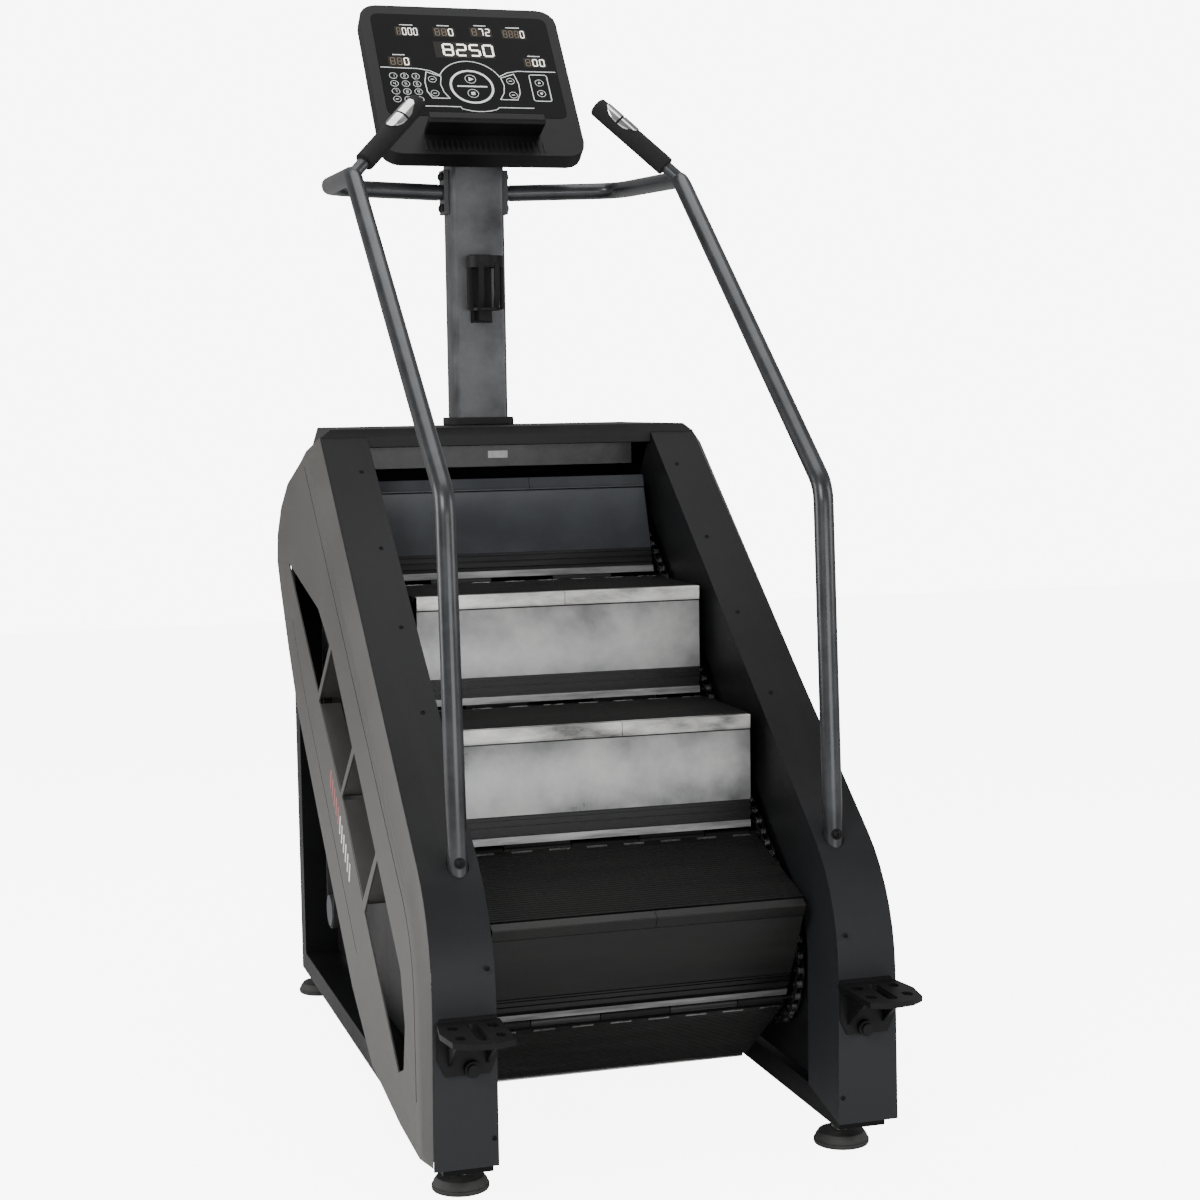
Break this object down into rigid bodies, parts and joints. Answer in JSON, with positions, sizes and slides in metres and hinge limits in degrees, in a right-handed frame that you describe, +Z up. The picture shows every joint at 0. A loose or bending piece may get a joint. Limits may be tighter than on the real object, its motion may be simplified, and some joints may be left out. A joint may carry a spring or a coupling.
{
  "type": "stair climber",
  "caption": "Free-standing stair climber with a chain-driven belt of hinged steps between side housings, bent handrails, a mast and a console.",
  "frame": {"origin": "centre of the bounding box in plan, on the floor", "axes": "+Z up, +Y away from the user towards the console, +X to the user's right"},
  "size_m": [0.792, 1.51, 2.04],
  "materials": {
    "steel_black": "satin black powder coat",
    "plate_grey": "dark grey powder coat",
    "hood_plastic": "matt black",
    "cover_plastic": "matt dark grey",
    "rubber_black": "matt",
    "nylon_black": "matt",
    "tube_gunmetal": "gloss gunmetal coat",
    "chrome": "polished",
    "panel_gloss": "gloss",
    "chain_steel": "oiled",
    "drive_iron": "painted",
    "belt_rubber": "matt",
    "riser_metal": "worn satin",
    "tread_black": "black ribbed"
  },
  "bodies": {
    "base": {"frame": "steel_black", "front_cover_right": "steel_black", "front_cover_left": "steel_black", "side_cover_right": "cover_plastic", "side_cover_left": "cover_plastic", "side_plate_right": "steel_black", "side_plate_left": "steel_black", "hood": "hood_plastic", "hood_panel": "plate_grey", "rear_panel": "hood_plastic", "mast": "plate_grey", "mast_trim": "hood_plastic", "bottle_holder": "nylon_black", "handrail_right": "tube_gunmetal", "handrail_left": "tube_gunmetal", "grip_right": "rubber_black", "grip_left": "rubber_black", "pulse_plate_right": "chrome", "pulse_plate_left": "chrome", "console_housing": "cover_plastic", "console_panel": "panel_gloss", "console_ledge": "cover_plastic", "tablet_rest": "rubber_black", "foot_peg_right": "nylon_black", "foot_peg_left": "nylon_black", "chain_left": "chain_steel", "chain_right": "chain_steel", "drive_belt": "belt_rubber", "motor": "drive_iron"},
    "front_run": {"tread_6": "tread_black", "riser_6": "riser_metal", "tread_7": "tread_black", "riser_7": "riser_metal"},
    "back_run": {"tread_2": "tread_black", "riser_2": "riser_metal", "tread_3": "tread_black", "riser_3": "riser_metal"},
    "bottom_drive": {"shaft_bottom": "chain_steel", "sprocket_bottom_left": "chain_steel", "sprocket_bottom_right": "chain_steel"},
    "top_drive": {"shaft_top": "chain_steel", "sprocket_top_left": "chain_steel", "sprocket_top_right": "chain_steel", "drive_pulley": "drive_iron"},
    "motor_pulley": {"motor_pulley": "drive_iron"},
    "tread_0": {"tread_0": "tread_black"},
    "riser_0": {"riser_0": "riser_metal"},
    "tread_1": {"tread_1": "tread_black"},
    "riser_1": {"riser_1": "riser_metal"},
    "tread_4": {"tread_4": "tread_black"},
    "riser_4": {"riser_4": "riser_metal"},
    "tread_5": {"tread_5": "tread_black"},
    "riser_5": {"riser_5": "riser_metal"},
    "foot_front_right": {"foot_front_right": "rubber_black"},
    "foot_front_left": {"foot_front_left": "rubber_black"},
    "foot_rear_right": {"foot_rear_right": "rubber_black"},
    "foot_rear_left": {"foot_rear_left": "rubber_black"}
  },
  "joints": [
    {"name": "belt_travel", "type": "slide", "parent": "base", "child": "front_run", "axis": [0, -0.7882, -0.6154], "range_m": [0, 0.0762]},
    {"name": "back_travel", "type": "slide", "parent": "base", "child": "back_run", "axis": [0, 0.7882, 0.6154], "range_m": [0, 0.0762]},
    {"name": "bottom_shaft_spin", "type": "hinge", "parent": "base", "child": "bottom_drive", "pos_m": [0, -0.31697, 0.28212], "axis": [1, 0, 0], "range_deg": [0, 35.99]},
    {"name": "top_shaft_spin", "type": "hinge", "parent": "base", "child": "top_drive", "pos_m": [0, 0.42326, 0.86003], "axis": [1, 0, 0], "range_deg": [0, 35.99]},
    {"name": "motor_spin", "type": "hinge", "parent": "base", "child": "motor_pulley", "pos_m": [0, 0.531, 0.21], "axis": [1, 0, 0], "range_deg": [0, 123.58]},
    {"name": "tread_0_hinge", "type": "hinge", "parent": "front_run", "child": "tread_0", "pos_m": [0, -0.2672, 0.47512], "axis": [1, 0, 0], "range_deg": [0, 17.63]},
    {"name": "riser_0_hinge", "type": "hinge", "parent": "bottom_drive", "child": "riser_0", "pos_m": [0, -0.42304, 0.22287], "axis": [1, 0, 0], "range_deg": [-6.65, 0]},
    {"name": "tread_1_hinge", "type": "hinge", "parent": "bottom_drive", "child": "tread_1", "pos_m": [0, -0.42304, 0.22287], "axis": [1, 0, 0], "range_deg": [-13.08, 0]},
    {"name": "riser_1_hinge", "type": "hinge", "parent": "back_run", "child": "riser_1", "pos_m": [0, -0.14706, 0.26063], "axis": [1, 0, 0], "range_deg": [0, 11.58]},
    {"name": "tread_4_hinge", "type": "hinge", "parent": "back_run", "child": "tread_4", "pos_m": [0, 0.37348, 0.66703], "axis": [1, 0, 0], "range_deg": [0, 17.63]},
    {"name": "riser_4_hinge", "type": "hinge", "parent": "top_drive", "child": "riser_4", "pos_m": [0, 0.52933, 0.91928], "axis": [1, 0, 0], "range_deg": [-6.65, 0]},
    {"name": "tread_5_hinge", "type": "hinge", "parent": "top_drive", "child": "tread_5", "pos_m": [0, 0.52933, 0.91928], "axis": [1, 0, 0], "range_deg": [-13.08, 0]},
    {"name": "riser_5_hinge", "type": "hinge", "parent": "front_run", "child": "riser_5", "pos_m": [0, 0.25335, 0.88152], "axis": [1, 0, 0], "range_deg": [0, 11.58]},
    {"name": "foot_front_right_screw", "type": "hinge", "parent": "base", "child": "foot_front_right", "pos_m": [0.3246, -0.528, 0.03], "axis": [0, 0, 1], "continuous": true},
    {"name": "foot_front_left_screw", "type": "hinge", "parent": "base", "child": "foot_front_left", "pos_m": [-0.3246, -0.528, 0.03], "axis": [0, 0, 1], "continuous": true},
    {"name": "foot_rear_right_screw", "type": "hinge", "parent": "base", "child": "foot_rear_right", "pos_m": [0.335, 0.703, 0.03], "axis": [0, 0, 1], "continuous": true},
    {"name": "foot_rear_left_screw", "type": "hinge", "parent": "base", "child": "foot_rear_left", "pos_m": [-0.335, 0.703, 0.03], "axis": [0, 0, 1], "continuous": true}
  ],
  "couplings": [
    {"joint": "back_travel", "follows": "belt_travel", "ratio": 1},
    {"joint": "bottom_shaft_spin", "follows": "belt_travel", "rad_per_m": 8.2306},
    {"joint": "top_shaft_spin", "follows": "belt_travel", "rad_per_m": 8.2306},
    {"joint": "motor_spin", "follows": "belt_travel", "rad_per_m": 28.293},
    {"joint": "tread_0_hinge", "follows": "belt_travel", "rad_per_m": 4.024},
    {"joint": "riser_0_hinge", "follows": "belt_travel", "rad_per_m": -1.5098},
    {"joint": "tread_1_hinge", "follows": "belt_travel", "rad_per_m": -2.9828},
    {"joint": "riser_1_hinge", "follows": "belt_travel", "rad_per_m": 2.6395},
    {"joint": "tread_4_hinge", "follows": "belt_travel", "rad_per_m": 4.024},
    {"joint": "riser_4_hinge", "follows": "belt_travel", "rad_per_m": -1.5098},
    {"joint": "tread_5_hinge", "follows": "belt_travel", "rad_per_m": -2.9828},
    {"joint": "riser_5_hinge", "follows": "belt_travel", "rad_per_m": 2.6395}
  ]
}
